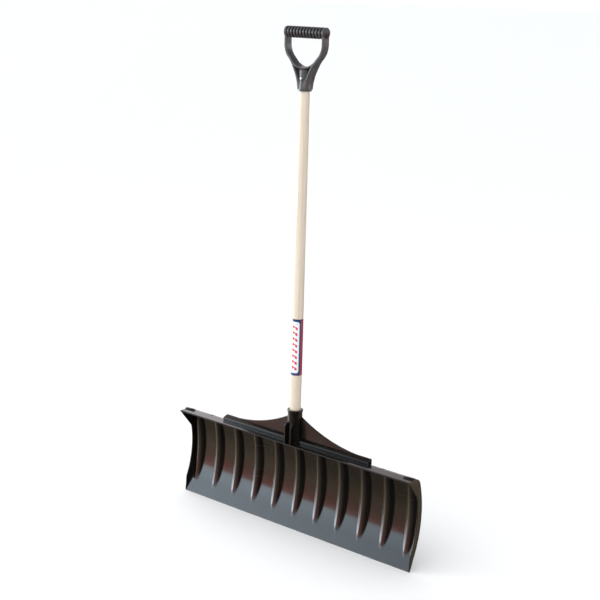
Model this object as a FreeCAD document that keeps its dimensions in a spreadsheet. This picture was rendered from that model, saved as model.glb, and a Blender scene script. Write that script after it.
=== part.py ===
import FreeCAD, Part
import math
import os

import Sketcher
from FreeCAD import Placement, Rotation, Vector

doc = FreeCAD.newDocument("snow_shovel")

# Frame: X along the blade, -Y to the front, Z up. The handle's axis is the Z axis
# and the cutting edge lies in the plane Z = 0.

# ---------------------------------------------------------------- sizes (mm, degrees)
sizes = [
    ("bladeWidth", 762, "across the cutting edge"),
    ("wall", 3, "thickness of the blade moulding"),
    ("edgeReach", 9.5, "cutting edge, in front of the handle's axis"),
    ("stripLength", 42, "straight strip above the cutting edge"),
    ("stripAngle", 24, "lean of that strip"),
    ("faceRadius", 258, "curve of the face, front side"),
    ("shoulderRadius", 21, "bend from the face into the flange, inner side"),
    ("flangeHeight", 241, "top of the flange above the cutting edge"),
    ("lipReach", 33.2, "front lip of the flange, in front of the handle's axis"),
    ("endDepth", 14.5, "depth of the end walls in front of the face"),
    ("endKneeLow", 43, "height where an end wall reaches its full depth"),
    ("endKneeHigh", 187, "height where an end wall starts out to the lip"),
    ("padWidth", 30, "raised pad on each end of the flange, along the blade"),
    ("padHeight", 3.5, "that pad above the flange"),
    ("padSetback", 18, "that pad behind the lip"),
    ("dentPitch", 574, "between the two dents across the flange's back"),
    ("dentRadius", 9, "round section of a dent"),
    ("dentDepth", 2, "dent, below the flange's top"),
    ("dentFront", 3, "front end of a dent, in front of the handle's axis"),
    ("ribCount", 11, "ribs across the face"),
    ("ribMargin", 24.5, "middle of an end rib from the blade's end"),
    ("ribPitch", "=(bladeWidth - 2 * ribMargin) / (ribCount - 1)", "spacing of the ribs"),
    ("ribRadius", 17.5, "round section of a rib"),
    ("ribTip", 29.4, "height of a rib's lower tip"),
    ("ribHeight", 11.5, "rib's height off the face at mid height"),
    ("ribTopHeight", 7, "rib's height off the face under the flange"),
    ("beamLength", 484, "channel along the top of the flange"),
    ("beamDepth", 17, "channel, front to back"),
    ("beamFront", 8, "height of the channel's front wall"),
    ("beamBack", 13, "height of the channel's back wall"),
    ("beamWall", 2.5, "thickness of the channel's walls"),
    ("handleRadius", 14.3, "wooden handle in the socket"),
    ("handleTopRadius", 12.2, "wooden handle in the grip"),
    ("handleLength", 940, "wooden handle, end to end"),
    ("handleStraight", 180, "untapered lower length of the handle"),
    ("taperMargin", 10, "untapered handle below the grip's mouth"),
    ("handleChamfer", 2, "bevel on both ends of the handle"),
    ("fitClearance", 0.12, "radial gap between the wood and a socket"),
    ("socketWall", 4.58, "thickness of the socket tube"),
    ("socketRadius", "=handleRadius + fitClearance + socketWall", "socket tube, outside"),
    ("socketRise", 4, "socket's closed end above the flange"),
    ("socketFloor", "=flangeHeight + socketRise", "height of the socket's closed end"),
    ("socketDepth", 83, "depth of the socket"),
    ("socketRim", "=socketFloor + socketDepth", "height of the socket's mouth"),
    ("rimLip", 1.6, "bead round the mouth, out from the tube"),
    ("rimBand", 5, "height of that bead"),
    ("webSpan", 392, "gusset web, end to end on the channel"),
    ("webThickness", 4.5, "gusset web"),
    ("webDrop", 18, "web's upper end below the socket's mouth"),
    ("webTop", "=socketRim - webDrop", "height where the web meets the socket"),
    ("webSag", 11, "hollow of the web's upper edges"),
    ("webSink", 0.5, "web's foot inside the channel's ceiling"),
    ("finSpacing", 19, "between the two fins in front of the socket"),
    ("finThickness", 3, "fin"),
    ("finReach", 29, "fin's front edge, in front of the handle's axis"),
    ("finFrontHeight", 48, "fin's front edge above the flange"),
    ("finBackHeight", 57, "fin's height above the flange at the socket"),
    ("skirtWidth", 22, "rib that carries the back of the socket"),
    ("skirtRise", 4, "that rib above the socket's floor"),
    ("skirtFoot", 18, "angle on the flange's bend where that rib ends"),
    ("jointSink", 0.4, "depth that a rib runs into the socket's wall"),
    ("gripEngage", 47, "length of handle inside the grip"),
    ("gripMouth", "=socketFloor + handleLength - gripEngage", "height of the grip's mouth"),
    ("collarWall", 2.58, "thickness of the grip's collar at its closed end"),
    ("collarTopRadius", "=handleTopRadius + fitClearance + collarWall", "collar's closed end"),
    ("collarFlare", 1, "collar's extra radius above its lip"),
    ("collarRadius", "=collarTopRadius + collarFlare", "collar above its lip"),
    ("collarLip", 0.7, "lip round the collar's mouth"),
    ("collarBand", 5, "height of that lip"),
    ("collarTaper", 22, "height where the collar ends its taper"),
    ("collarBevel", 3, "bevel round the collar's closed end"),
    ("collarCap", 6, "closed end above the handle"),
    ("archCover", 4, "bottom of the hand opening above the collar's closed end"),
    ("gripArch", "=gripMouth + gripEngage + collarCap + archCover", "bottom of the opening"),
    ("handRoom", 82, "bar's centre above the bottom of the hand opening"),
    ("barHeight", "=gripArch + handRoom", "height of the bar's centre"),
    ("gripDepth", 21, "arms of the grip, front to back"),
    ("gripWidth", 122, "grip, side to side"),
    ("gripArm", 7, "thickness of the grip's arms"),
    ("armBend", 50, "bend of the arms, outer side"),
    ("armStraight", 27, "straight length of an arm below the bar's centre"),
    ("archRadius", 46, "curve at the bottom of the hand opening"),
    ("throatWeb", 5, "web in the grip's throat"),
    ("throatDepth", 29, "throat of the grip, front to back"),
    ("throatFoot", 4, "throat's lower end above the collar's mouth"),
    ("throatWaist", 50, "height above the mouth where the throat starts to thin"),
    ("throatEnd", 82, "height above the mouth where the throat is as thin as the arms"),
    ("recessRim", 4.2, "rim between the hand opening and the throat's recess"),
    ("recessAngle", 32, "half angle of the recess about the opening's curve"),
    ("recessFoot", 10, "recess's lower point above the collar's mouth"),
    ("recessTip", 1.6, "half width of that point"),
    ("barRadius", 11.8, "grip bar between the rings"),
    ("barEndRadius", 13.8, "disc at each end of the bar"),
    ("ringRadius", 14, "rings round the bar"),
    ("ringWidth", 4.6, "one ring"),
    ("ringPitch", 9.5, "spacing of the rings"),
    ("ringCount", 11, "rings on the bar"),
    ("screwRadius", 2.1, "shank of both wood screws"),
    ("screwLength", 17, "shank below the head"),
    ("screwHeadRadius", 4.4, "pan head"),
    ("screwHeadHeight", 2.9, "pan head"),
    ("screwSlot", 1.1, "width of the cross recess"),
    ("seatDepth", 1.4, "flat spot under a screw head"),
    ("seatMargin", 0.4, "flat spot round a screw head"),
    ("gripScrewRise", 30, "grip's screw above the grip's mouth"),
    ("gripScrewHeight", "=gripMouth + gripScrewRise", "height of the grip's screw"),
    ("socketScrewDrop", 36, "socket's screw below the socket's mouth"),
    ("socketScrewHeight", "=socketRim - socketScrewDrop", "height of the socket's screw"),
    ("labelLow", 94, "label's lower edge above the socket's mouth"),
    ("labelLength", 148, "label along the handle"),
    ("labelFilm", 0.25, "thickness of the label"),
]
sheet = doc.addObject("Spreadsheet::Sheet", "sizes")
for row, (alias, value, note) in enumerate(sizes, 1):
    sheet.set(f"A{row}", alias)
    sheet.setAlias(f"B{row}", alias)
    sheet.set(f"B{row}", str(value))
    sheet.set(f"C{row}", note)
doc.recompute()


def size(name):
    return float(getattr(sheet, name))


# ---------------------------------------------------------------- document helpers
def add_body(name):
    body = doc.addObject("PartDesign::Body", name)
    body.Label = name
    return body


def add_sketch(body, name, role, offset=None):
    """Sketch on one of the body's own origin planes, moved by an (x, y, z) of expressions."""
    sketch = body.newObject("Sketcher::SketchObject", name)
    plane = next(f for f in body.Origin.OriginFeatures if f.Role == role)
    sketch.AttachmentSupport = [(plane, "")]
    sketch.MapMode = "FlatFace"
    for axis, expression in zip("xyz", offset or ()):
        if expression:
            sketch.setExpression(f"AttachmentOffset.Base.{axis}", expression)
    return sketch


def axis_of(body, role):
    return (next(f for f in body.Origin.OriginFeatures if f.Role == role), [""])


def line(start, end):
    return Part.LineSegment(Vector(*start, 0), Vector(*end, 0)), start, end


def arc(centre, start, end, clockwise=False):
    """Arc about centre from start to end, given as 2-D points."""
    radius = math.dist(centre, start)
    angles = [math.atan2(p[1] - centre[1], p[0] - centre[0]) for p in (start, end)]
    if clockwise:
        angles.reverse()
    circle = Part.Circle(Vector(*centre, 0), Vector(0, 0, 1), radius)
    return Part.ArcOfCircle(circle, angles[0], angles[1]), start, end, clockwise


def draw(sketch, pieces):
    """Add a closed chain of lines and arcs; return each piece's index."""
    first = sketch.GeometryCount
    ends = []
    for piece in pieces:
        sketch.addGeometry(piece[0], False)
        ends.append((2, 1) if len(piece) == 4 and piece[3] else (1, 2))
    count = len(pieces)
    for i in range(count):
        j = (i + 1) % count
        joint = Sketcher.Constraint("Coincident", first + i, ends[i][1], first + j, ends[j][0])
        sketch.addConstraint(joint)
    return list(range(first, first + count)), ends


def drive(sketch, kind, where, expression):
    """Add one dimension and bind it to the sheet."""
    index = sketch.addConstraint(Sketcher.Constraint(kind, *where, abs(worth(expression))))
    name = f"{kind}{index}"
    sketch.renameConstraint(index, name)
    sketch.setExpression(f"Constraints.{name}", expression)


def worth(expression):
    """Value of an expression over the sheet's cells."""
    result = sheet.evalExpression(expression.replace("sizes.", ""))
    return float(getattr(result, "Value", result))


def round_sketch(body, name, role, radius, offset=None, centre=(0, 0)):
    """Sketch of one circle whose radius is an expression."""
    sketch = add_sketch(body, name, role, offset)
    sketch.addGeometry(Part.Circle(Vector(*centre, 0), Vector(0, 0, 1), worth(radius)), False)
    drive(sketch, "Radius", (0,), radius)
    return sketch


def add_feature(body, kind, name, sketch, length=None, both=False, reverse=False):
    """Pad, Pocket, Revolution or Groove from a sketch of the same body."""
    feature = body.newObject(f"PartDesign::{kind}", name)
    feature.Profile = sketch
    if kind in ("Revolution", "Groove"):
        feature.Angle = 360
    elif length is None:
        feature.Type = "ThroughAll"
    else:
        feature.setExpression("Length", length)
    if both:
        feature.SideType = "Symmetric"
    feature.Reversed = reverse
    return feature


def mirror(body, name, original, role="YZ_Plane"):
    feature = body.newObject("PartDesign::Mirrored", name)
    feature.Originals = [original]
    feature.MirrorPlane = axis_of(body, role)
    body.Tip = feature
    return feature


def repeat(body, name, original, role, length, count):
    """Row of copies of a feature along one origin axis."""
    feature = body.newObject("PartDesign::LinearPattern", name)
    feature.Originals = [original]
    feature.Direction = axis_of(body, role)
    feature.setExpression("Length", length)
    feature.setExpression("Occurrences", count)
    body.Tip = feature
    return feature


def polar(centre, radius, angle):
    """Point on a circle; the angle is in radians from the sketch's first axis."""
    return centre[0] + radius * math.cos(angle), centre[1] + radius * math.sin(angle)


def circle_through(a, b, c):
    """Centre of the circle through three points."""
    turn = 2 * (a[0] * (b[1] - c[1]) + b[0] * (c[1] - a[1]) + c[0] * (a[1] - b[1]))
    aa, bb, cc = (p[0] ** 2 + p[1] ** 2 for p in (a, b, c))
    x = (aa * (b[1] - c[1]) + bb * (c[1] - a[1]) + cc * (a[1] - b[1])) / turn
    y = (aa * (c[0] - b[0]) + bb * (a[0] - c[0]) + cc * (b[0] - a[0])) / turn
    return x, y


# ---------------------------------------------------------------- blade: its section
wall = size("wall")
lean = math.radians(size("stripAngle"))
face_radius = size("faceRadius")
shoulder_radius = size("shoulderRadius")
flange_top = size("flangeHeight")

foot = (-size("edgeReach"), 0)
knee = (foot[0] + size("stripLength") * math.sin(lean), size("stripLength") * math.cos(lean))
face_centre = polar(knee, face_radius, math.pi - lean)
climb = flange_top - wall - shoulder_radius - face_centre[1]
turn = math.asin(climb / (face_radius - shoulder_radius))
shoulder_centre = polar(face_centre, face_radius - shoulder_radius, turn)
bend = polar(face_centre, face_radius, turn)
back_foot = (foot[0] + wall / math.cos(lean), 0)
back_knee = polar(face_centre, face_radius + wall, -lean)
back_bend = polar(face_centre, face_radius + wall, turn)
flange_back = (shoulder_centre[0], flange_top)
flange_under = (shoulder_centre[0], flange_top - wall)
lip_centre = (-size("lipReach") + wall / 2, flange_top - wall / 2)
lip_low = (lip_centre[0], flange_top - wall)
lip_high = (lip_centre[0], flange_top)


def back_side():
    """The moulding's back, from the flange round the shoulder and down to the floor."""
    return [
        arc(shoulder_centre, flange_back, back_bend, clockwise=True),
        arc(face_centre, back_bend, back_knee, clockwise=True),
        line(back_knee, back_foot),
    ]


# ---------------------------------------------------------------- blade
blade = add_body("blade")

section = add_sketch(blade, "face_section", "YZ_Plane")
draw(section, [
    line(foot, knee),
    arc(face_centre, knee, bend),
    arc(shoulder_centre, bend, flange_under),
    line(flange_under, lip_low),
    arc(lip_centre, lip_low, lip_high, clockwise=True),
    line(lip_high, flange_back),
    *back_side(),
    line(back_foot, foot),
])
drive(section, "Radius", (1,), "sizes.faceRadius")
drive(section, "Radius", (2,), "sizes.shoulderRadius")
drive(section, "Radius", (6,), "sizes.shoulderRadius + sizes.wall")
drive(section, "Radius", (7,), "sizes.faceRadius + sizes.wall")
add_feature(blade, "Pad", "face", section, "sizes.bladeWidth", both=True)

# Ribs: rings of round section about an axis far in front, sunk into the face so that
# only a low ridge stands out, which runs down to a point.
tip = (foot[0] + size("ribTip") * math.tan(lean), size("ribTip"))
middle = (face_centre[0] + face_radius - size("ribHeight"), face_centre[1])
top = polar(face_centre, face_radius - size("ribTopHeight"), turn)
rib_axis = circle_through(tip, middle, top)
crest = math.dist(rib_axis, tip)
rib_up = math.degrees(math.asin((flange_top - wall / 2 - rib_axis[1]) / crest))
rib_down = math.degrees(math.asin((rib_axis[1] - size("ribTip") / 2) / crest))
hollow_up = math.degrees(math.asin((bend[1] - rib_axis[1]) / crest))


def rib_feature(kind, name, radius, up):
    """One rib, or the hollow behind it, at the left end of the row."""
    sketch = round_sketch(blade, f"{name}_section", "XY_Plane", radius,
                          centre=(0, crest + size("ribRadius")))
    sketch.AttachmentOffset = Placement(Vector(0, *rib_axis), Rotation())
    sketch.setExpression("AttachmentOffset.Base.x", "sizes.ribMargin - sizes.bladeWidth / 2")
    feature = add_feature(blade, kind, name, sketch)
    feature.ReferenceAxis = (sketch, ["H_Axis"])
    feature.Type = "TwoAngles"
    feature.Angle = up
    feature.Angle2 = rib_down
    repeat(blade, f"{name}s", feature, "X_Axis",
           "sizes.bladeWidth - 2 * sizes.ribMargin", "sizes.ribCount")


rib_feature("Revolution", "rib", "sizes.ribRadius", rib_up)

# What the ribs leave behind the moulding's back is cut off.
behind = add_sketch(blade, "behind_face", "YZ_Plane")
outside = 60  # any length that takes the cut clear of the moulding
below = (back_foot[0] - outside * math.tan(lean), -outside)
clear = face_centre[0] + face_radius + outside
draw(behind, [
    line(below, back_knee),
    arc(face_centre, back_knee, back_bend),
    arc(shoulder_centre, back_bend, flange_back),
    line(flange_back, (flange_back[0], flange_top + outside)),
    line((flange_back[0], flange_top + outside), (clear, flange_top + outside)),
    line((clear, flange_top + outside), (clear, -outside)),
    line((clear, -outside), below),
])
add_feature(blade, "Pocket", "rib_backs", behind, both=True)
rib_feature("Groove", "rib_hollow", "sizes.ribRadius - sizes.wall", hollow_up)

# End walls, one each side.
end_radius = face_radius - size("endDepth")
low_angle = math.asin((size("endKneeLow") - face_centre[1]) / end_radius)
high_angle = math.asin((size("endKneeHigh") - face_centre[1]) / end_radius)
low = polar(face_centre, end_radius, low_angle)
high = polar(face_centre, end_radius, high_angle)
end_section = add_sketch(blade, "end_section", "YZ_Plane",
                         (None, None, "sizes.bladeWidth / 2 - sizes.wall"))
draw(end_section, [
    line(foot, low),
    arc(face_centre, low, high),
    line(high, lip_high),
    line(lip_high, flange_back),
    *back_side(),
    line(back_foot, foot),
])
drive(end_section, "Radius", (1,), "sizes.faceRadius - sizes.endDepth")
end_wall = add_feature(blade, "Pad", "end_wall", end_section, "sizes.wall")
mirror(blade, "end_walls", end_wall)

# Raised pad on each end of the flange.
pad_top = flange_top + size("padHeight")
pad_front = size("padSetback") - size("lipReach")
pad_section = add_sketch(blade, "pad_section", "YZ_Plane",
                         (None, None, "sizes.bladeWidth / 2 - sizes.padWidth"))
pad = [(pad_front, flange_top - wall / 2), (flange_back[0], flange_top - wall / 2),
       (flange_back[0], pad_top), (pad_front, pad_top)]
draw(pad_section, [line(a, b) for a, b in zip(pad, pad[1:] + pad[:1])])
end_pad = add_feature(blade, "Pad", "end_pad", pad_section, "sizes.padWidth")
mirror(blade, "end_pads", end_pad)

# Dent across the back of the flange, one each side of the channel.
dent_section = round_sketch(blade, "dent_section", "XZ_Plane", "sizes.dentRadius", (
    "sizes.dentPitch / 2",
    "sizes.flangeHeight + sizes.dentRadius - sizes.dentDepth",
    "sizes.dentFront"))
dent = add_feature(blade, "Pocket", "dent", dent_section, "sizes.shoulderRadius + sizes.wall")
mirror(blade, "dents", dent)

# Hollow channel along the flange, open at both ends.
half = size("beamDepth") / 2
beam_wall = size("beamWall")
front_top = flange_top + size("beamFront")
back_top = flange_top + size("beamBack")
slope = (back_top - front_top) / size("beamDepth")
inside = half - beam_wall
ceiling = (front_top + back_top) / 2 - beam_wall
sunk = flange_top - wall / 2
beam_section = add_sketch(blade, "beam_section", "YZ_Plane")
outer = [(-half, sunk), (half, sunk - wall), (half, back_top), (-half, front_top)]
inner = [(-inside, flange_top), (inside, flange_top),
         (inside, ceiling + slope * inside), (-inside, ceiling - slope * inside)]
for corners in (outer, inner):
    draw(beam_section, [line(a, b) for a, b in zip(corners, corners[1:] + corners[:1])])
add_feature(blade, "Pad", "beam", beam_section, "sizes.beamLength", both=True)

# Gusset web behind the channel's ridge, hollow-edged, up to the socket.
reach = size("webSpan") / 2
web_inner = size("socketRadius") - wall
run = (reach - web_inner, back_top - size("webTop"))
chord = math.hypot(*run)
sag = size("webSag")
web_radius = (chord ** 2 / 4 + sag ** 2) / (2 * sag)
normal = (-run[1] / chord, run[0] / chord)
web_centre = (web_inner + run[0] / 2 + normal[0] * (web_radius - sag),
              size("webTop") + run[1] / 2 + normal[1] * (web_radius - sag))
web_section = add_sketch(blade, "web_section", "XZ_Plane",
                         (None, None, "(sizes.webThickness - sizes.beamDepth) / 2"))
web_low = back_top - beam_wall + size("webSink")
draw(web_section, [
    line((-reach, web_low), (reach, web_low)),
    line((reach, web_low), (reach, back_top)),
    arc(web_centre, (reach, back_top), (web_inner, size("webTop")), clockwise=True),
    line((web_inner, size("webTop")), (-web_inner, size("webTop"))),
    arc((-web_centre[0], web_centre[1]), (-web_inner, size("webTop")), (-reach, back_top),
        clockwise=True),
    line((-reach, back_top), (-reach, web_low)),
])
drive(web_section, "DistanceX", (0, 1, 0, 2), "sizes.webSpan")
add_feature(blade, "Pad", "web", web_section, "sizes.webThickness", both=True)

# Socket: tube, bead round its mouth, and a rib that carries its back on the shoulder.
tube = round_sketch(blade, "socket_section", "XY_Plane", "sizes.socketRadius",
                    (None, None, "sizes.flangeHeight - sizes.wall / 2"))
add_feature(blade, "Pad", "socket", tube,
            "sizes.socketRise + sizes.socketDepth + sizes.wall / 2")
bead = round_sketch(blade, "bead_section", "XY_Plane", "sizes.socketRadius + sizes.rimLip",
                    (None, None, "sizes.socketRim"))
add_feature(blade, "Pad", "bead", bead, "sizes.rimBand", reverse=True)
skirt_back = size("socketRadius") - size("jointSink")
mid_radius = shoulder_radius + wall / 2
skirt_foot = polar(shoulder_centre, mid_radius, math.radians(size("skirtFoot")))
skirt_top = size("socketFloor") + size("skirtRise")
skirt = add_sketch(blade, "skirt_section", "YZ_Plane")
draw(skirt, [
    arc(shoulder_centre, (shoulder_centre[0], sunk), skirt_foot, clockwise=True),
    line(skirt_foot, (skirt_back, skirt_top)),
    line((skirt_back, skirt_top), (shoulder_centre[0], skirt_top)),
    line((shoulder_centre[0], skirt_top), (shoulder_centre[0], sunk)),
])
add_feature(blade, "Pad", "skirt", skirt, "sizes.skirtWidth", both=True)

# Two fins in front of the socket.
fin_edge = (size("finSpacing") + size("finThickness")) / 2
fin_root = size("jointSink") - math.sqrt(size("socketRadius") ** 2 - fin_edge ** 2)
fin_section = add_sketch(blade, "fin_section", "YZ_Plane",
                         (None, None, "(sizes.finSpacing - sizes.finThickness) / 2"))
fin = [
    (-size("finReach"), sunk),
    (fin_root, sunk),
    (fin_root, flange_top + size("finBackHeight")),
    (-size("finReach"), flange_top + size("finFrontHeight")),
]
draw(fin_section, [line(a, b) for a, b in zip(fin, fin[1:] + fin[:1])])
one_fin = add_feature(blade, "Pad", "fin", fin_section, "sizes.finThickness")
mirror(blade, "fins", one_fin)

bore = round_sketch(blade, "bore_section", "XY_Plane", "sizes.handleRadius + sizes.fitClearance",
                    (None, None, "sizes.socketRim"))
add_feature(blade, "Pocket", "bore", bore, "sizes.socketDepth")


def screw_place(body, name, outside, height, back):
    """Flat spot and clearance hole for a screw through a socket's wall."""
    side = "-1" if back else "1"
    start = (None, f"{height}", f"{side} * ({outside})")
    seat = round_sketch(body, f"{name}_seat_section", "XZ_Plane",
                        "sizes.screwHeadRadius + sizes.seatMargin", start)
    add_feature(body, "Pocket", f"{name}_seat", seat, "sizes.seatDepth", reverse=back)
    hole = round_sketch(body, f"{name}_hole_section", "XZ_Plane",
                        "sizes.screwRadius + sizes.fitClearance", start)
    add_feature(body, "Pocket", f"{name}_hole", hole, f"{outside}", reverse=back)


screw_place(blade, "screw", "sizes.socketRadius", "sizes.socketScrewHeight", True)

# ---------------------------------------------------------------- handle
handle = add_body("handle")
handle_low = size("socketFloor")
handle_high = handle_low + size("handleLength")
taper_low = handle_low + size("handleStraight")
mouth = size("gripMouth")
taper_high = mouth - size("taperMargin")
wood = size("handleRadius")
wood_top = size("handleTopRadius")
bevel = size("handleChamfer")
handle_section = add_sketch(handle, "handle_section", "XZ_Plane")
shape = [
    (0, handle_low),
    (wood - bevel, handle_low),
    (wood, handle_low + bevel),
    (wood, taper_low),
    (wood_top, taper_high),
    (wood_top, handle_high - bevel),
    (wood_top - bevel, handle_high),
    (0, handle_high),
]
draw(handle_section, [line(a, b) for a, b in zip(shape, shape[1:] + shape[:1])])
drive(handle_section, "DistanceY", (7, 2, 7, 1), "sizes.handleLength")
turned = add_feature(handle, "Revolution", "turned", handle_section)
turned.ReferenceAxis = (handle_section, ["V_Axis"])


def pilot_hole(name, outside, height, back):
    """Hole that a screw has cut in the wood."""
    side = "-1" if back else "1"
    sketch = round_sketch(handle, f"{name}_section", "XZ_Plane", "sizes.screwRadius",
                          (None, f"{height}", f"{side} * ({outside})"))
    add_feature(handle, "Pocket", name, sketch, "sizes.seatDepth + sizes.screwLength", reverse=back)


pilot_hole("socket_pilot", "sizes.socketRadius", "sizes.socketScrewHeight", True)
pilot_hole("grip_pilot", "sizes.collarTopRadius", "sizes.gripScrewHeight", False)

# ---------------------------------------------------------------- grip
grip = add_body("grip")
width = size("gripWidth") / 2
arm = size("gripArm")
bar_height = size("barHeight")
arch = size("gripArch")
knee_height = bar_height - size("armStraight")
arm_radius = size("armBend")
sweep_x = width - arm_radius * (1 - math.cos(math.pi / 4))
root = size("collarRadius") - wall
throat_radius = (sweep_x - root) / (1 - math.cos(math.pi / 4))
sweep_z = knee_height - arm_radius * math.sin(math.pi / 4)
root_z = sweep_z - throat_radius * math.sin(math.pi / 4)
throat_centre = (root + throat_radius, root_z)
start = math.asin((mouth + size("throatFoot") - root_z) / throat_radius)
throat_start = polar(throat_centre, throat_radius, math.pi - start)


def flipped(pieces):
    """The same chain on the other side, run the other way."""
    chain = []
    for piece in reversed(pieces):
        start, end = piece[1], piece[2]
        across = (-end[0], end[1]), (-start[0], start[1])
        if len(piece) == 4:
            centre = (-piece[0].Center.x, piece[0].Center.y)
            chain.append(arc(centre, *across, clockwise=piece[3]))
        else:
            chain.append(line(*across))
    return chain


arm_centre = (width - arm_radius, knee_height)
right_side = [
    arc(throat_centre, throat_start, (sweep_x, sweep_z), clockwise=True),
    arc(arm_centre, (sweep_x, sweep_z), (width, knee_height)),
    line((width, knee_height), (width, bar_height)),
]
arch_radius = size("archRadius")
arch_centre = (0, arch + arch_radius)
arch_corner = polar(arch_centre, arch_radius, -3 * math.pi / 4)
arm_corner = polar((-arm_centre[0], knee_height), arm_radius - arm, -3 * math.pi / 4)
left_opening = [
    arc(arch_centre, (0, arch), arch_corner, clockwise=True),
    line(arch_corner, arm_corner),
    arc((-arm_centre[0], knee_height), arm_corner, (arm - width, knee_height), clockwise=True),
    line((arm - width, knee_height), (arm - width, bar_height)),
]
outline = add_sketch(grip, "grip_outline", "XZ_Plane")
draw(outline, [
    line((-throat_start[0], throat_start[1]), throat_start),
    *right_side,
    line((width, bar_height), (width - arm, bar_height)),
    *flipped(left_opening),
    *left_opening,
    line((arm - width, bar_height), (-width, bar_height)),
    *flipped(right_side),
])
add_feature(grip, "Pad", "frame", outline, "sizes.throatDepth", both=True)

# The frame thins from the deep throat to the arms.
deep = size("throatDepth") / 2
thin = size("gripDepth") / 2
thinning = add_sketch(grip, "thinning_section", "YZ_Plane")
profile = [
    (-deep, mouth + size("throatWaist")),
    (-thin, mouth + size("throatEnd")),
    (-thin, bar_height + arm),
    (-deep - arm, bar_height + arm),
    (-deep - arm, mouth + size("throatWaist")),
]
draw(thinning, [line(a, b) for a, b in zip(profile, profile[1:] + profile[:1])])
one_face = add_feature(grip, "Pocket", "thinning", thinning, both=True)
mirror(grip, "thinnings", one_face, "XZ_Plane")

# Below the hand opening the throat is recessed from both faces, down to a web.
throat = add_sketch(grip, "throat_section", "XZ_Plane", (None, None, "sizes.throatDepth / 2"))
recess_top = polar(arch_centre, arch_radius + size("recessRim"),
                   math.radians(size("recessAngle")) - math.pi / 2)
recess_low = (size("recessTip"), mouth + size("recessFoot"))
draw(throat, [
    arc(arch_centre, (-recess_top[0], recess_top[1]), recess_top),
    line(recess_top, recess_low),
    line(recess_low, (-recess_low[0], recess_low[1])),
    line((-recess_low[0], recess_low[1]), (-recess_top[0], recess_top[1])),
])
recess = add_feature(grip, "Pocket", "throat", throat, "(sizes.throatDepth - sizes.throatWeb) / 2")
mirror(grip, "throats", recess, "XZ_Plane")

collar = add_sketch(grip, "collar_section", "XZ_Plane")
cap = handle_high + size("collarCap")
lip = size("collarRadius") + size("collarLip")
collar_bevel = size("collarBevel")
cone = [
    (0, mouth),
    (lip, mouth),
    (lip, mouth + size("collarBand")),
    (size("collarRadius"), mouth + size("collarBand") + size("collarLip")),
    (size("collarTopRadius"), mouth + size("collarTaper")),
    (size("collarTopRadius"), cap - collar_bevel),
    (size("collarTopRadius") - collar_bevel, cap),
    (0, cap),
]
draw(collar, [line(a, b) for a, b in zip(cone, cone[1:] + cone[:1])])
collar_turn = add_feature(grip, "Revolution", "collar", collar)
collar_turn.ReferenceAxis = (collar, ["V_Axis"])

# Bar with rings round it, and a disc at each end.
bar = round_sketch(grip, "bar_section", "YZ_Plane", "sizes.barRadius",
                   (None, "sizes.barHeight", None))
add_feature(grip, "Pad", "bar", bar, "sizes.gripWidth - sizes.gripArm", both=True)
cap_offset = (None, "sizes.barHeight", "sizes.gripWidth / 2 - sizes.gripArm")
bar_end = round_sketch(grip, "bar_end_section", "YZ_Plane", "sizes.barEndRadius", cap_offset)
one_end = add_feature(grip, "Pad", "bar_end", bar_end, "sizes.gripArm")
mirror(grip, "bar_ends", one_end)
ring_offset = (None, "sizes.barHeight",
               "-(sizes.ringCount - 1) / 2 * sizes.ringPitch - sizes.ringWidth / 2")
ring = round_sketch(grip, "ring_section", "YZ_Plane", "sizes.ringRadius", ring_offset)
one_ring = add_feature(grip, "Pad", "ring", ring, "sizes.ringWidth")
repeat(grip, "rings", one_ring, "X_Axis",
       "(sizes.ringCount - 1) * sizes.ringPitch", "sizes.ringCount")

grip_bore = round_sketch(grip, "grip_bore_section", "XY_Plane",
                         "sizes.handleTopRadius + sizes.fitClearance",
                         (None, None, "sizes.gripMouth"))
add_feature(grip, "Pocket", "grip_bore", grip_bore, "sizes.gripEngage", reverse=True)
screw_place(grip, "screw", "sizes.collarTopRadius", "sizes.gripScrewHeight", False)


# ---------------------------------------------------------------- screws
def wood_screw(name, place):
    """Pan-head screw along its own Z axis, head upward, underside at the origin."""
    body = add_body(name)
    head = size("screwHeadRadius")
    tall = size("screwHeadHeight")
    shank = size("screwRadius")
    length = size("screwLength")
    sketch = add_sketch(body, f"{name}_section", "XZ_Plane")
    profile = [
        (0, -length),
        (shank, -length + 1.5 * shank),
        (shank, 0),
        (head, 0),
        (head, tall * 0.45),
        (head * 0.72, tall),
        (0, tall),
    ]
    draw(sketch, [line(a, b) for a, b in zip(profile, profile[1:] + profile[:1])])
    solid = add_feature(body, "Revolution", f"{name}_turned", sketch)
    solid.ReferenceAxis = (sketch, ["V_Axis"])
    for turned_by, label in ((0, "across"), (90, "along")):
        slot = add_sketch(body, f"{name}_{label}_section", "XY_Plane",
                          (None, None, "sizes.screwHeadHeight"))
        slot.AttachmentOffset = Placement(slot.AttachmentOffset.Base,
                                          Rotation(Vector(0, 0, 1), turned_by))
        long_half = head * 0.5
        slim_half = size("screwSlot") / 2
        corners = [(-long_half, -slim_half), (long_half, -slim_half),
                   (long_half, slim_half), (-long_half, slim_half)]
        draw(slot, [line(a, b) for a, b in zip(corners, corners[1:] + corners[:1])])
        drive(slot, "DistanceY", (1, 1, 1, 2), "sizes.screwSlot")
        add_feature(body, "Pocket", f"{name}_{label}", slot, "sizes.screwHeadHeight * 0.6")
    body.Placement = place
    return body


socket_seat = size("socketRadius") - size("seatDepth")
grip_seat = size("collarTopRadius") - size("seatDepth")
to_back = Rotation(Vector(1, 0, 0), -90)
to_front = Rotation(Vector(1, 0, 0), 90)
socket_screw = wood_screw("socket_screw", Placement(
    Vector(0, socket_seat, size("socketScrewHeight")), to_back))
grip_screw = wood_screw("grip_screw", Placement(
    Vector(0, -grip_seat, size("gripScrewHeight")), to_front))

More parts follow.
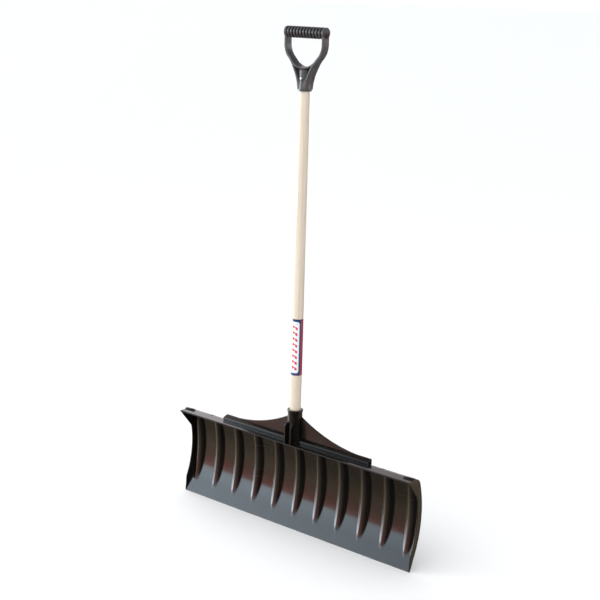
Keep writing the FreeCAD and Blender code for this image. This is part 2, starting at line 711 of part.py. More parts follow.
# ---------------------------------------------------------------- label
label = add_body("label")
film = size("labelFilm")
label_low = size("socketRim") + size("labelLow")
label_high = label_low + size("labelLength")


def wood_radius(height):
    """Handle's radius at a height, straight below and tapered above."""
    share = (height - taper_low) / (taper_high - taper_low)
    return wood + (wood_top - wood) * min(max(share, 0), 1)


stops = [label_low, label_high]
if label_low < taper_low < label_high:
    stops.insert(1, taper_low)
wrap = [(wood_radius(z), z) for z in stops] + [(wood_radius(z) + film, z) for z in stops[::-1]]
label_section = add_sketch(label, "label_section", "XZ_Plane")
draw(label_section, [line(a, b) for a, b in zip(wrap, wrap[1:] + wrap[:1])])
wrapped = add_feature(label, "Revolution", "wrapped", label_section)
wrapped.ReferenceAxis = (label_section, ["V_Axis"])

# ---------------------------------------------------------------- check and write
doc.recompute()
for item in doc.Objects:
    faults = [word for word in item.State if word in ("Invalid", "Error")]
    if faults:
        raise RuntimeError(f"{item.Name}: {faults} {item.getStatusString()}")

os.makedirs("parts", exist_ok=True)
for body in (blade, handle, grip, socket_screw, grip_screw, label):
    solid = body.Shape
    if solid.isNull() or not solid.isValid():
        raise RuntimeError(f"{body.Label} has no valid shape")
    solid.exportStep(f"parts/{body.Label}.step")
    box = solid.BoundBox
    print(f"{body.Label}: {len(solid.Solids)} solid, {solid.Volume / 1000:.1f} cm3, "
          f"x {box.XMin:.1f} to {box.XMax:.1f}, y {box.YMin:.1f} to {box.YMax:.1f}, "
          f"z {box.ZMin:.1f} to {box.ZMax:.1f}")
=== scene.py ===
import math

import bmesh
import bpy
from mathutils import Matrix, Vector


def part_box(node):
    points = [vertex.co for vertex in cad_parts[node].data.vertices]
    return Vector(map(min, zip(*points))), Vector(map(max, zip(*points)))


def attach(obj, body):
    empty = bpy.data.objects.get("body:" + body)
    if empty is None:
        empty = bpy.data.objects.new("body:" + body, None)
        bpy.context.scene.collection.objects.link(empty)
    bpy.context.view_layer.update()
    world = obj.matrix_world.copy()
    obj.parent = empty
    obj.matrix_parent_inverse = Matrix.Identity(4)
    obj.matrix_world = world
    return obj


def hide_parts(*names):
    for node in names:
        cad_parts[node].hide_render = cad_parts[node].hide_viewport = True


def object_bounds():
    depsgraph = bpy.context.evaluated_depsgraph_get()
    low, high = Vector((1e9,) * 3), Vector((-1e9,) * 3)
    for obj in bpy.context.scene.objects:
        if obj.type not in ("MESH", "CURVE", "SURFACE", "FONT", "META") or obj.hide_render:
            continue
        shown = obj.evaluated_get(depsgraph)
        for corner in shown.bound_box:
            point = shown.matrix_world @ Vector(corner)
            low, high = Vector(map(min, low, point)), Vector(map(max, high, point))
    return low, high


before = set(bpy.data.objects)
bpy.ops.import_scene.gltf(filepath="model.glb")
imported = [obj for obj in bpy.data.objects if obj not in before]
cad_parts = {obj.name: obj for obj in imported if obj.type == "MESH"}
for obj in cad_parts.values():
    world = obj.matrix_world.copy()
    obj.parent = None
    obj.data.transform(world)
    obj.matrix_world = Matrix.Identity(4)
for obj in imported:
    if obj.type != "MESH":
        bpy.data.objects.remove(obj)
cadLow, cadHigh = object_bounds()
print("packed parts loaded")

# Frame: X along the blade, -Y to the front, Z up, in metres. Where a piece stands comes
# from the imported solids; each dictionary holds what is that piece's own.
bladeLow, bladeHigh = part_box("blade")
woodLow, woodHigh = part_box("handle")
gripLow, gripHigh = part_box("grip")
labelLow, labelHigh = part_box("label")
socketScrewLow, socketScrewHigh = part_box("socket_screw")
gripScrewLow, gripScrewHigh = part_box("grip_screw")

frontView = Matrix.Rotation(math.pi / 2, 4, "X")  # drawn x, y -> X, Z
sideView = Matrix(((0, 0, 1, 0), (1, 0, 0, 0), (0, 1, 0, 0), (0, 0, 0, 1)))  # drawn x, y -> Y, Z


# Outlines.
def polar(centre, radius, angle):
    return centre[0] + radius * math.cos(angle), centre[1] + radius * math.sin(angle)


def arcRun(centre, radius, start, end, steps):
    return [polar(centre, radius, start + (end - start) * i / steps) for i in range(steps + 1)]


def lineRun(start, end, steps):
    return [tuple(a + (b - a) * i / steps for a, b in zip(start, end)) for i in range(steps + 1)]


def joined(*runs):
    points = []
    for run in runs:
        for point in run:
            if not points or math.dist(points[-1], point) > 1e-7:
                points.append(point)
    if math.dist(points[0], points[-1]) < 1e-7:
        points.pop()
    return points


def circleThrough(a, b, c):
    turn = 2 * (a[0] * (b[1] - c[1]) + b[0] * (c[1] - a[1]) + c[0] * (a[1] - b[1]))
    aa, bb, cc = (p[0] ** 2 + p[1] ** 2 for p in (a, b, c))
    return ((aa * (b[1] - c[1]) + bb * (c[1] - a[1]) + cc * (a[1] - b[1])) / turn,
            (aa * (c[0] - b[0]) + bb * (a[0] - c[0]) + cc * (b[0] - a[0])) / turn)


def softened(points, radius, steps=4, closed=True):
    made = []
    count = len(points)
    for i, point in enumerate(points):
        if not closed and i in (0, count - 1):
            made.append(point)
            continue
        here = Vector(point)
        before = Vector(points[i - 1]) - here
        after = Vector(points[(i + 1) % count]) - here
        reach = min(radius, before.length * 0.49, after.length * 0.49)
        a = here + before.normalized() * reach
        b = here + after.normalized() * reach
        for k in range(steps + 1):
            t = k / steps
            made.append(tuple(a * (1 - t) ** 2 + here * 2 * t * (1 - t) + b * t ** 2))
    return made


# Mesh helpers.
def placed(name, mesh, material):
    made = bpy.data.objects.new(name, mesh)
    bpy.context.scene.collection.objects.link(made)
    mesh.materials.clear()
    mesh.materials.append(material)
    return made


def cleaned(mesh, sharp=38, merge=2e-6):
    work = bmesh.new()
    work.from_mesh(mesh)
    bmesh.ops.remove_doubles(work, verts=work.verts, dist=merge)
    bmesh.ops.dissolve_degenerate(work, edges=work.edges, dist=1e-7)
    bmesh.ops.recalc_face_normals(work, faces=work.faces)
    work.to_mesh(mesh)
    work.free()
    mesh.shade_smooth()
    mesh.set_sharp_from_angle(angle=math.radians(sharp))
    return mesh


def plainMesh(source, name):
    graph = bpy.context.evaluated_depsgraph_get()
    mesh = bpy.data.meshes.new_from_object(source.evaluated_get(graph))
    mesh.name = name
    bpy.data.objects.remove(source)
    return mesh


def flatMesh(name, loops, depth, rounding, place):
    curve = bpy.data.curves.new(name, "CURVE")
    curve.dimensions = "2D"
    curve.fill_mode = "BOTH"
    curve.extrude = depth / 2 - rounding
    curve.bevel_depth = rounding
    curve.bevel_resolution = 2
    curve.offset = -rounding
    for loop in loops:
        spline = curve.splines.new("POLY")
        spline.points.add(len(loop) - 1)
        for point, (x, y) in zip(spline.points, loop):
            point.co = (x, y, 0, 1)
        spline.use_cyclic_u = True
    drawn = bpy.data.objects.new(name, curve)
    bpy.context.scene.collection.objects.link(drawn)
    mesh = plainMesh(drawn, name)
    mesh.transform(place)
    return cleaned(mesh)


def latheMesh(name, profile, steps, place=Matrix.Identity(4), closed=False):
    work = bmesh.new()
    rings = []
    for radius, height in profile:
        turns = steps if radius > 1e-6 else 1
        rings.append([work.verts.new((radius * math.cos(2 * math.pi * i / steps),
                                      radius * math.sin(2 * math.pi * i / steps), height))
                      for i in range(turns)])
    for low, high in zip(rings, rings[1:] + (rings[:1] if closed else [])):
        for i in range(steps):
            j = (i + 1) % steps
            corners = [low[i % len(low)], low[j % len(low)], high[j % len(high)], high[i % len(high)]]
            work.faces.new(list(dict.fromkeys(corners)))
    mesh = bpy.data.meshes.new(name)
    work.to_mesh(mesh)
    work.free()
    mesh.transform(place)
    return cleaned(mesh)


def together(name, meshes):
    work = bmesh.new()
    for mesh in meshes:
        work.from_mesh(mesh)
        bpy.data.meshes.remove(mesh)
    joint = bpy.data.meshes.new(name)
    work.to_mesh(joint)
    work.free()
    joint.shade_smooth()
    joint.set_sharp_from_angle(angle=math.radians(38))
    return joint


def sidePair(name, outline, depth, rounding, offset):
    seats = [Matrix.Translation((side * offset, 0, 0)) @ sideView for side in (-1, 1)]
    return together(name, [flatMesh(name, [outline], depth, rounding, seat) for seat in seats])


# Node helpers.
def addNode(tree, kind, inputs=(), **settings):
    node = tree.nodes.new(kind)
    for key, value in settings.items():
        setattr(node, key, value)
    for socket, value in dict(inputs).items():
        if isinstance(value, bpy.types.NodeSocket):
            tree.links.new(value, node.inputs[socket])
        else:
            node.inputs[socket].default_value = value
    return node


def maths(tree, operation, *values, clamp=False):
    return addNode(tree, "ShaderNodeMath", dict(enumerate(values)), operation=operation,
                   use_clamp=clamp).outputs[0]


def product(tree, first, second):
    return maths(tree, "MULTIPLY", first, second)


def squareSum(tree, first, second):
    return maths(tree, "ADD", product(tree, first, first), product(tree, second, second))


def distance(tree, first, second):
    return maths(tree, "SQRT", squareSum(tree, first, second))


def capped(tree, radius, offset):
    room = maths(tree, "SUBTRACT", product(tree, radius, radius), product(tree, offset, offset))
    return maths(tree, "SQRT", maths(tree, "MAXIMUM", room, 0.0))


def pieceTree(name, inputs):
    tree = bpy.data.node_groups.new(name, "GeometryNodeTree")
    tree.interface.new_socket("Geometry", in_out="INPUT", socket_type="NodeSocketGeometry")
    for label, (kind, value) in inputs.items():
        socket = tree.interface.new_socket(label, in_out="INPUT", socket_type=f"NodeSocket{kind}")
        if value is not None:
            socket.default_value = value
    tree.interface.new_socket("Geometry", in_out="OUTPUT", socket_type="NodeSocketGeometry")
    return tree, tree.nodes.new("NodeGroupInput"), tree.nodes.new("NodeGroupOutput")


def closeTree(tree, made, given, out):
    real = addNode(tree, "GeometryNodeRealizeInstances", {"Geometry": made})
    dressed = addNode(tree, "GeometryNodeSetMaterial",
                      {"Geometry": real.outputs[0], "Material": given.outputs["Material"]})
    tree.links.new(dressed.outputs[0], out.inputs[0])


def runTree(carrier, tree, values, name):
    modifier = carrier.modifiers.new(tree.name, "NODES")
    modifier.node_group = tree
    for item in tree.interface.items_tree:
        if item.in_out == "INPUT" and item.name in values:
            modifier[item.identifier] = values[item.name]
    carrier.update_tag()
    return plainMesh(carrier, name)


# Finishes.
def newFinish(name, **constants):
    finish = bpy.data.materials.new(name)
    finish.use_nodes = True
    tree = finish.node_tree
    shader = next(n for n in tree.nodes if n.type == "BSDF_PRINCIPLED")
    for socket, value in constants.items():
        shader.inputs[socket.replace("_", " ")].default_value = value
    return finish, tree, shader


def objectPlace(tree, scale=(1, 1, 1), turn=(0, 0, 0)):
    spot = addNode(tree, "ShaderNodeTexCoord").outputs["Object"]
    return addNode(tree, "ShaderNodeMapping",
                   {"Vector": spot, "Scale": scale, "Rotation": turn}).outputs[0]


def noise(tree, place, scale, detail=3.0, rough=0.5):
    return addNode(tree, "ShaderNodeTexNoise", {"Vector": place, "Scale": scale, "Detail": detail,
                                                "Roughness": rough}).outputs["Fac"]


def span(tree, value, low, high, toLow=0.0, toHigh=1.0):
    return addNode(tree, "ShaderNodeMapRange", {"Value": value, "From Min": low, "From Max": high,
                                                "To Min": toLow, "To Max": toHigh}).outputs[0]


def blendColour(tree, share, first, second):
    node = addNode(tree, "ShaderNodeMix", data_type="RGBA")
    for socket, value in ((0, share), (6, first), (7, second)):
        if isinstance(value, bpy.types.NodeSocket):
            tree.links.new(value, node.inputs[socket])
        else:
            node.inputs[socket].default_value = value
    return node.outputs[2]


def bumped(tree, height, distance, strength=1.0, below=None):
    inputs = {"Height": height, "Distance": distance, "Strength": strength}
    if below:
        inputs["Normal"] = below
    return addNode(tree, "ShaderNodeBump", inputs).outputs[0]


bladeFinish = {
    "dark": (0.0034, 0.0030, 0.0027, 1),
    "light": (0.0090, 0.0074, 0.0060, 1),
    "scuff": (0.055, 0.05, 0.046, 1),
    "coat": 0.5,
    "socketCoat": 0.15,
    "roughness": 0.13,
    "socketRoughness": 0.21,
    "scuffRoughness": 0.34,
    "edgeWear": 0.014,   # height of the rubbed band above the cutting edge
    "waveDepth": 0.0009,
}


def makeBladeFinish(name, roughness, coat, scuffed):
    finish, tree, shader = newFinish(name, IOR=1.56, Coat_Weight=coat, Coat_Roughness=0.06, Coat_IOR=1.5)
    place = objectPlace(tree)
    mottle = noise(tree, place, 9.0, 5.0)
    tone = blendColour(tree, mottle, bladeFinish["dark"], bladeFinish["light"])
    lengthwise = noise(tree, objectPlace(tree, (5, 5, 420)), 1.0, 4.0, 0.6)
    upright = noise(tree, objectPlace(tree, (520, 20, 4)), 1.0, 3.0, 0.6)
    scratch = maths(tree, "MAXIMUM", span(tree, lengthwise, 0.60, 0.72), span(tree, upright, 0.64, 0.74))
    height = addNode(tree, "ShaderNodeSeparateXYZ", {0: place}).outputs["Z"]
    patches = noise(tree, place, 26.0, 4.0)
    reach = maths(tree, "ADD", height, product(tree, patches, -0.02))
    rubbed = span(tree, reach, bladeFinish["edgeWear"], 0.0, 0.0, 1.0)
    worn = maths(tree, "MULTIPLY", maths(tree, "ADD", rubbed, 0.35), scratch, clamp=True)
    if scuffed:
        tone = blendColour(tree, product(tree, worn, 0.35), tone, bladeFinish["scuff"])
    tree.links.new(tone, shader.inputs["Base Color"])
    rough = span(tree, patches, 0.3, 0.75, roughness, roughness + 0.09)
    if scuffed:
        rough = maths(tree, "ADD", rough, product(tree, worn, bladeFinish["scuffRoughness"]))
    tree.links.new(rough, shader.inputs["Roughness"])
    waves = bumped(tree, noise(tree, objectPlace(tree, (9, 9, 5)), 1.0, 1.5), bladeFinish["waveDepth"], 0.5)
    grain = bumped(tree, noise(tree, place, 1500.0, 2.0), 0.00003, 0.4, waves)
    tree.links.new(grain, shader.inputs["Normal"])
    return finish


gripFinish = {
    "dark": (0.054, 0.052, 0.052, 1),
    "light": (0.086, 0.083, 0.083, 1),
    "shadedGroove": (0.003, 0.003, 0.003, 1),  # painted shade between the rings
    "shadedGrooveRadius": 0.0128,
    "roughness": 0.30,
}


def makeGripFinish(name, barHeight=None):
    finish, tree, shader = newFinish(name, IOR=1.5)
    place = objectPlace(tree)
    tone = blendColour(tree, noise(tree, place, 40.0, 5.0), gripFinish["dark"], gripFinish["light"])
    # Painted shade: the colour turns near black in the grooves between the rings, wherever the surface lies
    # inside the groove radius from the bar's axis.
    if barHeight:
        _, y, z = addNode(tree, "ShaderNodeSeparateXYZ", {0: place}).outputs
        rise = maths(tree, "SUBTRACT", z, barHeight)
        shadedGroove = gripFinish["shadedGrooveRadius"]
        grooveShadeShare = span(tree, distance(tree, y, rise), shadedGroove + 0.0005, shadedGroove)
        tone = blendColour(tree, grooveShadeShare, tone, gripFinish["shadedGroove"])
    tree.links.new(tone, shader.inputs["Base Color"])
    handled = noise(tree, place, 70.0, 4.0)
    tree.links.new(span(tree, handled, 0.3, 0.7, gripFinish["roughness"] - 0.07,
                        gripFinish["roughness"] + 0.08), shader.inputs["Roughness"])
    leather = addNode(tree, "ShaderNodeTexVoronoi", {"Vector": place, "Scale": 1300.0}).outputs["Distance"]
    tree.links.new(bumped(tree, leather, 0.00006, 0.5), shader.inputs["Normal"])
    return finish


woodFinish = {
    "pale": (0.755, 0.672, 0.565, 1),
    "warm": (0.62, 0.505, 0.385, 1),
    "vein": (0.44, 0.325, 0.225, 1),
    "roughness": 0.42,
}


def makeWoodFinish(name):
    finish, tree, shader = newFinish(name, IOR=1.46, Specular_IOR_Level=0.3)
    drift = noise(tree, objectPlace(tree, (14, 14, 1.6)), 1.0, 2.0)
    shift = addNode(tree, "ShaderNodeCombineXYZ", {0: product(tree, drift, 5.0)}).outputs[0]
    board = addNode(tree, "ShaderNodeVectorMath", {0: objectPlace(tree, (150, 150, 2.4)), 1: shift},
                    operation="ADD").outputs[0]
    rings = noise(tree, board, 1.0, 3.0, 0.55)
    fibre = noise(tree, objectPlace(tree, (1500, 1500, 26)), 1.0, 3.0, 0.6)
    tone = blendColour(tree, span(tree, rings, 0.35, 0.7), woodFinish["pale"], woodFinish["warm"])
    tone = blendColour(tree, span(tree, fibre, 0.56, 0.78, 0.0, 0.55), tone, woodFinish["vein"])
    pores = noise(tree, objectPlace(tree, (900, 900, 60)), 1.0, 1.0)
    tone = blendColour(tree, span(tree, pores, 0.68, 0.76, 0.0, 0.5), tone, woodFinish["vein"])
    tree.links.new(tone, shader.inputs["Base Color"])
    tree.links.new(span(tree, fibre, 0.3, 0.8, woodFinish["roughness"], woodFinish["roughness"] + 0.16),
                   shader.inputs["Roughness"])
    tree.links.new(bumped(tree, fibre, 0.00008, 0.6), shader.inputs["Normal"])
    return finish


steelFinish = {"dull": (0.62, 0.63, 0.64, 1), "bright": (0.85, 0.86, 0.88, 1)}


def makeSteelFinish(name):
    finish, tree, shader = newFinish(name, Metallic=1.0, IOR=2.5)
    place = objectPlace(tree)
    tone = blendColour(tree, noise(tree, place, 700.0, 3.0), steelFinish["dull"], steelFinish["bright"])
    tree.links.new(tone, shader.inputs["Base Color"])
    tree.links.new(span(tree, noise(tree, place, 1600.0, 2.0), 0.3, 0.7, 0.16, 0.32),
                   shader.inputs["Roughness"])
    tree.links.new(bumped(tree, noise(tree, place, 2500.0, 2.0), 0.00003, 0.5), shader.inputs["Normal"])
    return finish


print("finishes described")

bladePlastic = makeBladeFinish("blade_plastic", bladeFinish["roughness"], bladeFinish["coat"], True)
socketPlastic = makeBladeFinish("socket_plastic", bladeFinish["socketRoughness"],
                                bladeFinish["socketCoat"], False)
gripPlastic = makeGripFinish("grip_plastic")
handleWood = makeWoodFinish("handle_wood")
screwSteel = makeSteelFinish("screw_steel")


# Blade: the ribbed shell.
bladeShape = {
    "wall": 0.003,
    "edgeReach": 0.0095,       # cutting edge, in front of the handle's axis
    "stripLength": 0.042,
    "stripAngle": 24.0,
    "faceRadius": 0.258,
    "shoulderRadius": 0.021,
    "flangeHeight": 0.241,
    "endDepth": 0.0145,
    "endKneeLow": 0.043,
    "endKneeHigh": 0.187,
    "ribCount": 11,
    "ribPitch": 0.0713,
    "ribRadius": 0.0175,
    "ribTip": 0.0294,
    "ribHeight": 0.0115,
    "ribTopHeight": 0.007,
    "ribBlend": 0.0011,        # fillet where a rib leaves the face
    "dentPitch": 0.574,
    "dentRadius": 0.009,
    "dentDepth": 0.002,
    "dentFront": 0.003,
}
wall = bladeShape["wall"]
lean = math.radians(bladeShape["stripAngle"])
faceRadius = bladeShape["faceRadius"]
shoulderRadius = bladeShape["shoulderRadius"]
flangeTop = bladeShape["flangeHeight"]
lipReach = -bladeLow.y

foot = (-bladeShape["edgeReach"], bladeLow.z)
knee = (foot[0] + bladeShape["stripLength"] * math.sin(lean), bladeShape["stripLength"] * math.cos(lean))
faceCentre = polar(knee, faceRadius, math.pi - lean)
turn = math.asin((flangeTop - wall - shoulderRadius - faceCentre[1]) / (faceRadius - shoulderRadius))
shoulderCentre = polar(faceCentre, faceRadius - shoulderRadius, turn)
backFoot = (foot[0] + wall / math.cos(lean), bladeLow.z)
backKnee = polar(faceCentre, faceRadius + wall, -lean)
lipCentre = (-lipReach + wall / 2, flangeTop - wall / 2)

ribTip = (foot[0] + bladeShape["ribTip"] * math.tan(lean), bladeShape["ribTip"])
ribMiddle = (faceCentre[0] + faceRadius - bladeShape["ribHeight"], faceCentre[1])
ribTop = polar(faceCentre, faceRadius - bladeShape["ribTopHeight"], turn)
ribAxis = circleThrough(ribTip, ribMiddle, ribTop)
ribCrest = math.dist(ribAxis, ribTip)


def shellSection():
    front = joined(
        lineRun((foot[0], foot[1] + 0.0006), knee, 20),
        arcRun(faceCentre, faceRadius, -lean, turn, 84),
        arcRun(shoulderCentre, shoulderRadius, turn, math.pi / 2, 10),
        lineRun((shoulderCentre[0], flangeTop - wall), (lipCentre[0], flangeTop - wall), 4))
    lip = arcRun(lipCentre, wall / 2, 1.5 * math.pi, 0.5 * math.pi, 8)
    back = joined(
        lineRun((lipCentre[0], flangeTop), (shoulderCentre[0], flangeTop), 12),
        arcRun(shoulderCentre, shoulderRadius + wall, math.pi / 2, turn, 12),
        arcRun(faceCentre, faceRadius + wall, turn, -lean, 72),
        lineRun(backKnee, (backFoot[0] - 0.0003, backFoot[1] + 0.0006), 14))
    sole = [(backFoot[0] - 0.0008, backFoot[1]), (foot[0] + 0.0006, foot[1])]
    points = joined(front, lip, back, sole)
    depths = []
    for point in points:
        onBack = min(math.dist(point, other) for other in back) < 1e-7 or point in sole
        depths.append(wall if onBack else 0.0)
    return points, depths


def shellColumns():
    pitch = bladeShape["ribPitch"]
    half = bladeShape["ribRadius"] + 0.002  # a rib and its fillet
    side = (bladeShape["ribCount"] - 1) // 2
    columns = set()
    for rib in range(-side, side + 1):
        for k in range(-12, 13):
            columns.add(round(rib * pitch + k * half / 12, 6))
        for k in range(1, 4):
            columns.add(round(rib * pitch + half + k * (pitch - 2 * half) / 4, 6))
    for side in (-1, 1):
        for k in range(-8, 9):
            columns.add(round(side * bladeShape["dentPitch"] / 2 + k * 0.0009, 6))
    end = bladeHigh.x - wall + 0.0002
    kept = sorted(c for c in columns if abs(c) < end - 0.001)
    first = kept[0]
    extra = [-end + (first + end) * k / 3 for k in range(3)]
    return extra + kept + [-c for c in extra[::-1]]


def plainShell():
    points, depths = shellSection()
    columns = shellColumns()
    count = len(points)
    work = bmesh.new()
    inner = work.verts.layers.float.new("depth")
    rows = []
    for x in columns:
        row = [work.verts.new((x, y, z)) for y, z in points]
        for vertex, depth in zip(row, depths):
            vertex[inner] = depth
        rows.append(row)
    for a, b in zip(rows, rows[1:]):
        for i in range(count):
            j = (i + 1) % count
            work.faces.new((a[i], b[i], b[j], a[j]))
    work.faces.new(rows[0])
    work.faces.new(rows[-1][::-1])
    bmesh.ops.recalc_face_normals(work, faces=work.faces)
    mesh = bpy.data.meshes.new("shell_section")
    work.to_mesh(mesh)
    work.free()
    mesh.shade_smooth()
    mesh.set_sharp_from_angle(angle=math.radians(50))
    return mesh


def ribTree():
    tree, given, out = pieceTree("blade_ribs", {
        "Rib count": ("Int", 11), "Rib pitch": ("Float", 0.07), "Rib radius": ("Float", 0.017),
        "Crest radius": ("Float", 0.3), "Axis Y": ("Float", 0.0), "Axis Z": ("Float", 0.1),
        "Blend": ("Float", 0.003), "Dent place": ("Float", 0.27), "Dent radius": ("Float", 0.009),
        "Dent centre": ("Float", 0.25), "Dent front": ("Float", -0.01), "Material": ("Material", None)})
    value = given.outputs
    spot = addNode(tree, "GeometryNodeInputPosition").outputs[0]
    x, y, z = addNode(tree, "ShaderNodeSeparateXYZ", {0: spot}).outputs
    side = maths(tree, "DIVIDE", maths(tree, "SUBTRACT", value["Rib count"], 1.0), 2.0)
    index = maths(tree, "ROUND", maths(tree, "DIVIDE", x, value["Rib pitch"]))
    index = maths(tree, "MAXIMUM", maths(tree, "MINIMUM", index, side), product(tree, side, -1.0))
    across = maths(tree, "SUBTRACT", x, product(tree, index, value["Rib pitch"]))
    depth = addNode(tree, "GeometryNodeInputNamedAttribute", {"Name": "depth"},
                    data_type="FLOAT").outputs[0]
    rise = capped(tree, maths(tree, "SUBTRACT", value["Rib radius"], depth), across)
    rib = maths(tree, "SUBTRACT", maths(tree, "ADD", value["Crest radius"], value["Rib radius"]), rise)
    dy = maths(tree, "SUBTRACT", y, value["Axis Y"])
    dz = maths(tree, "SUBTRACT", z, value["Axis Z"])
    away = distance(tree, dy, dz)
    held = maths(tree, "SMOOTH_MIN", away, rib, value["Blend"])
    share = maths(tree, "DIVIDE", held, away)
    moved = addNode(tree, "ShaderNodeCombineXYZ", {
        0: x,
        1: maths(tree, "ADD", value["Axis Y"], product(tree, dy, share)),
        2: maths(tree, "ADD", value["Axis Z"], product(tree, dz, share))}).outputs[0]
    pressed = addNode(tree, "GeometryNodeSetPosition", {"Geometry": value["Geometry"], "Position": moved})
    offCentre = maths(tree, "SUBTRACT", maths(tree, "ABSOLUTE", x), value["Dent place"])
    bottom = maths(tree, "SUBTRACT", value["Dent centre"], capped(tree, value["Dent radius"], offCentre))
    lowered = addNode(tree, "ShaderNodeCombineXYZ",
                      {0: x, 1: y, 2: maths(tree, "MINIMUM", z, bottom)}).outputs[0]
    beside = maths(tree, "LESS_THAN", maths(tree, "ABSOLUTE", offCentre), value["Dent radius"])
    inDent = product(tree, beside, maths(tree, "GREATER_THAN", y, value["Dent front"]))
    onBack = product(tree, inDent, maths(tree, "GREATER_THAN", depth, 0.0))
    dented = addNode(tree, "GeometryNodeSetPosition", {"Geometry": pressed.outputs[0], "Selection": onBack,
                                                       "Position": lowered})
    closeTree(tree, dented.outputs[0], given, out)
    return tree


carrier = bpy.data.objects.new("shell_carrier", plainShell())
bpy.context.scene.collection.objects.link(carrier)
shellMesh = runTree(carrier, ribTree(), {
    "Rib count": bladeShape["ribCount"], "Rib pitch": bladeShape["ribPitch"],
    "Rib radius": bladeShape["ribRadius"], "Crest radius": ribCrest,
    "Axis Y": ribAxis[0], "Axis Z": ribAxis[1], "Blend": bladeShape["ribBlend"],
    "Dent place": bladeShape["dentPitch"] / 2, "Dent radius": bladeShape["dentRadius"],
    "Dent centre": flangeTop + bladeShape["dentRadius"] - bladeShape["dentDepth"],
    "Dent front": -bladeShape["dentFront"],
    "Material": bladePlastic}, "bladeShell")
bladeShell = placed("bladeShell", shellMesh, bladePlastic)
print("blade shell:", len(shellMesh.polygons), "faces")


# Blade: end walls.
endRadius = faceRadius - bladeShape["endDepth"]
lowAngle = math.asin((bladeShape["endKneeLow"] - faceCentre[1]) / endRadius)
highAngle = math.asin((bladeShape["endKneeHigh"] - faceCentre[1]) / endRadius)
endOutline = joined(
    lineRun(foot, polar(faceCentre, endRadius, lowAngle), 4),
    arcRun(faceCentre, endRadius, lowAngle, highAngle, 30),
    lineRun(polar(faceCentre, endRadius, highAngle), (-lipReach, flangeTop - 0.0006), 6),
    lineRun((-lipReach + 0.0006, flangeTop), (shoulderCentre[0], flangeTop), 3),
    arcRun(shoulderCentre, shoulderRadius + wall, math.pi / 2, turn, 12),
    arcRun(faceCentre, faceRadius + wall, turn, -lean, 40),
    lineRun(backKnee, backFoot, 4))
endWalls = placed("endWalls", sidePair("endWalls", endOutline, wall, 0.0007, bladeHigh.x - wall / 2),
                  bladePlastic)

# Raised pad on each end of the flange.
padShape = {"width": 0.030, "height": 0.0035, "setback": 0.018, "sunk": 0.0012, "frontSlope": 0.004}
padFront = padShape["setback"] - lipReach
padFloor = flangeTop - padShape["sunk"]
padTop = flangeTop + padShape["height"]
padOutline = softened([(padFront, padFloor), (shoulderCentre[0], padFloor), (shoulderCentre[0], padTop),
                       (padFront + padShape["frontSlope"], padTop)], 0.0016)
padMesh = sidePair("endPads", padOutline, padShape["width"], 0.0009, bladeHigh.x - padShape["width"] / 2)
endPads = placed("endPads", padMesh, bladePlastic)

# Blade: channel along the flange.
beamShape = {"length": 0.484, "depth": 0.017, "front": 0.008, "back": 0.013, "wall": 0.0025}
half = beamShape["depth"] / 2
frontTop = flangeTop + beamShape["front"]
backTop = flangeTop + beamShape["back"]
slope = (backTop - frontTop) / beamShape["depth"]
inside = half - beamShape["wall"]
ceiling = (frontTop + backTop) / 2 - beamShape["wall"]
sunk = flangeTop - wall / 2
outer = softened([(-half, sunk), (half, sunk - wall), (half, backTop), (-half, frontTop)], 0.0012)
inner = softened([(-inside, flangeTop), (inside, flangeTop), (inside, ceiling + slope * inside),
                  (-inside, ceiling - slope * inside)], 0.0006)
beamMesh = flatMesh("flangeBeam", [outer, inner], beamShape["length"], 0.0004, sideView)
flangeBeam = placed("flangeBeam", beamMesh, bladePlastic)

# Blade: gusset web.
webShape = {"span": 0.392, "thickness": 0.0045, "top": 0.310, "sag": 0.011}
socketShape = {"radius": 0.019, "rimRadius": 0.0206, "rimBand": 0.005, "floor": 0.245, "skirt": 0.022,
               "clearance": 0.00012}
reach = webShape["span"] / 2
webInner = socketShape["radius"] - wall
run = (reach - webInner, backTop - webShape["top"])
chord = math.hypot(*run)
sag = webShape["sag"]
webRadius = (chord ** 2 / 4 + sag ** 2) / (2 * sag)
webCentre = (webInner + run[0] / 2 - run[1] / chord * (webRadius - sag),
             webShape["top"] + run[1] / 2 + run[0] / chord * (webRadius - sag))
startAngle = math.atan2(backTop - webCentre[1], reach - webCentre[0])
endAngle = math.atan2(webShape["top"] - webCentre[1], webInner - webCentre[0])
webSide = arcRun(webCentre, webRadius, startAngle, endAngle, 24)
webLow = backTop - 0.003
webOutline = joined([(-reach, webLow), (reach, webLow)], webSide, [(-x, y) for x, y in reversed(webSide)])
webSeat = Matrix.Translation((0, half - webShape["thickness"] / 2, 0)) @ frontView
webMesh = flatMesh("gussetWeb", [webOutline], webShape["thickness"], 0.0009, webSeat)
gussetWeb = placed("gussetWeb", webMesh, socketPlastic)

# Blade: socket.
rim = bladeHigh.z
bore = woodHigh.x + socketShape["clearance"]
socketProfile = joined(
    [(0, sunk), (socketShape["radius"], sunk)],
    softened([(socketShape["radius"], sunk), (socketShape["radius"], rim - socketShape["rimBand"] - 0.0012),
              (socketShape["rimRadius"], rim - socketShape["rimBand"]), (socketShape["rimRadius"], rim),
              (bore, rim), (bore, socketShape["floor"])], 0.0011, closed=False),
    [(bore, socketShape["floor"]), (0, socketShape["floor"])])
handleSocket = placed("handleSocket", latheMesh("handleSocket", socketProfile, 96), socketPlastic)

skirtBack = socketShape["radius"] - 0.0004
midRadius = shoulderRadius + wall / 2
skirtAngle = math.acos((skirtBack - shoulderCentre[0]) / midRadius)
skirtOutline = joined(
    arcRun(shoulderCentre, midRadius, math.pi / 2, skirtAngle, 8),
    [(skirtBack, socketShape["floor"] + 0.004), (shoulderCentre[0], socketShape["floor"] + 0.004)])
skirtMesh = flatMesh("socketSkirt", [skirtOutline], socketShape["skirt"], 0.0006, sideView)
socketSkirt = placed("socketSkirt", skirtMesh, socketPlastic)

